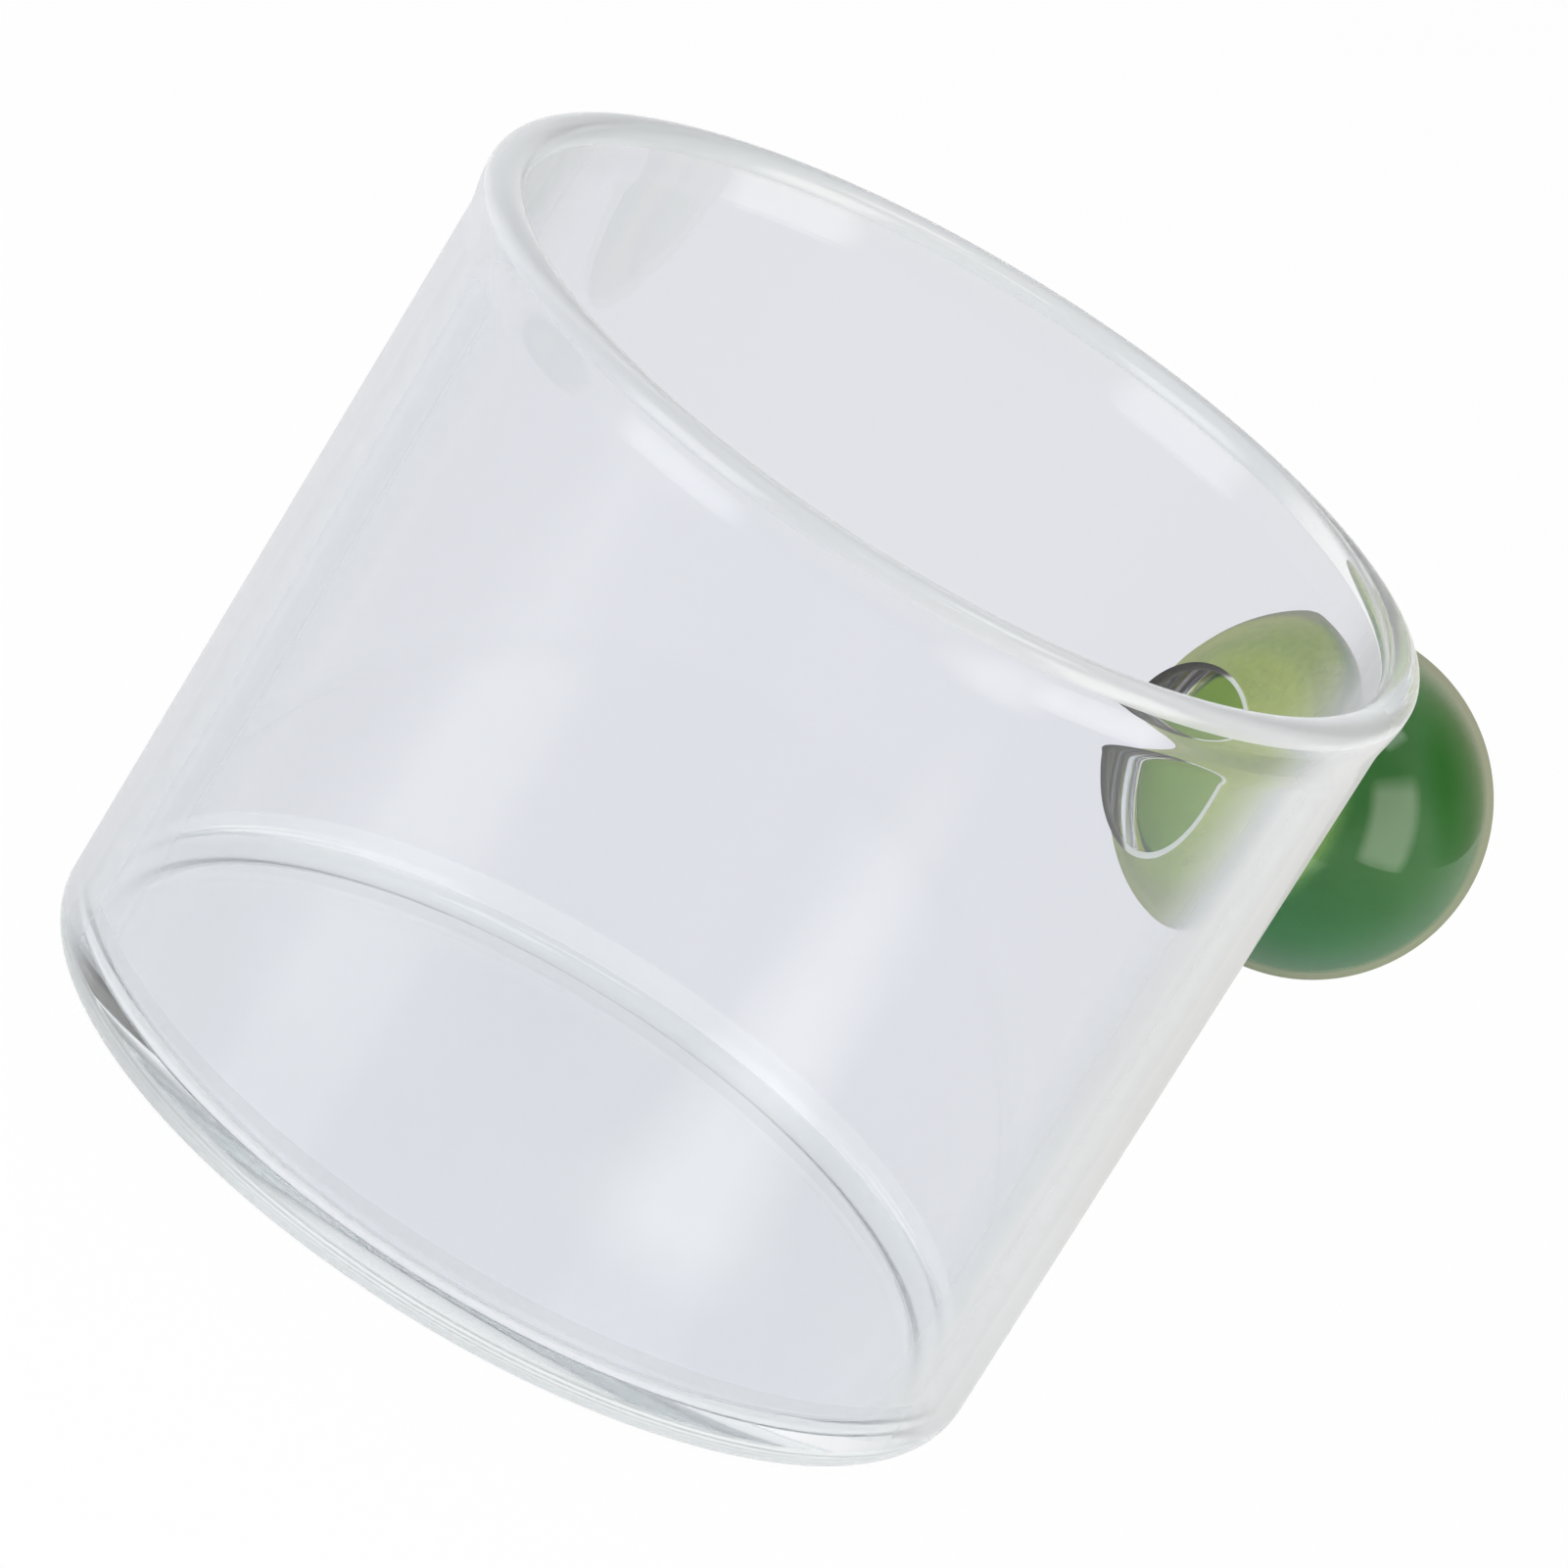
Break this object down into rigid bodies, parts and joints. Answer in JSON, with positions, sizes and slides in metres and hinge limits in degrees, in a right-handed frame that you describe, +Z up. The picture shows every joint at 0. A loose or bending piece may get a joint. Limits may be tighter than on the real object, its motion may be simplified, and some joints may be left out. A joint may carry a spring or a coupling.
{
  "type": "glass teacup",
  "caption": "Straight-sided clear glass teacup with a rounded lip, a flat base and a green glass ball fused to its wall as a handle.",
  "frame": {"origin": "centre of the flat underside that the cup stands on", "axes": "+Z up along the cup's axis, +X from the cup's axis towards the ball handle"},
  "size_m": [0.1022, 0.077, 0.067],
  "materials": {
    "clear_glass": "clear, fire polished",
    "green_glass": "translucent jade green, smooth"
  },
  "bodies": {
    "root": {"cup_wall": "clear_glass", "base_disc": "clear_glass", "handle_core": "green_glass", "handle_casing": "clear_glass", "weld_plug": "clear_glass"}
  },
  "joints": []
}
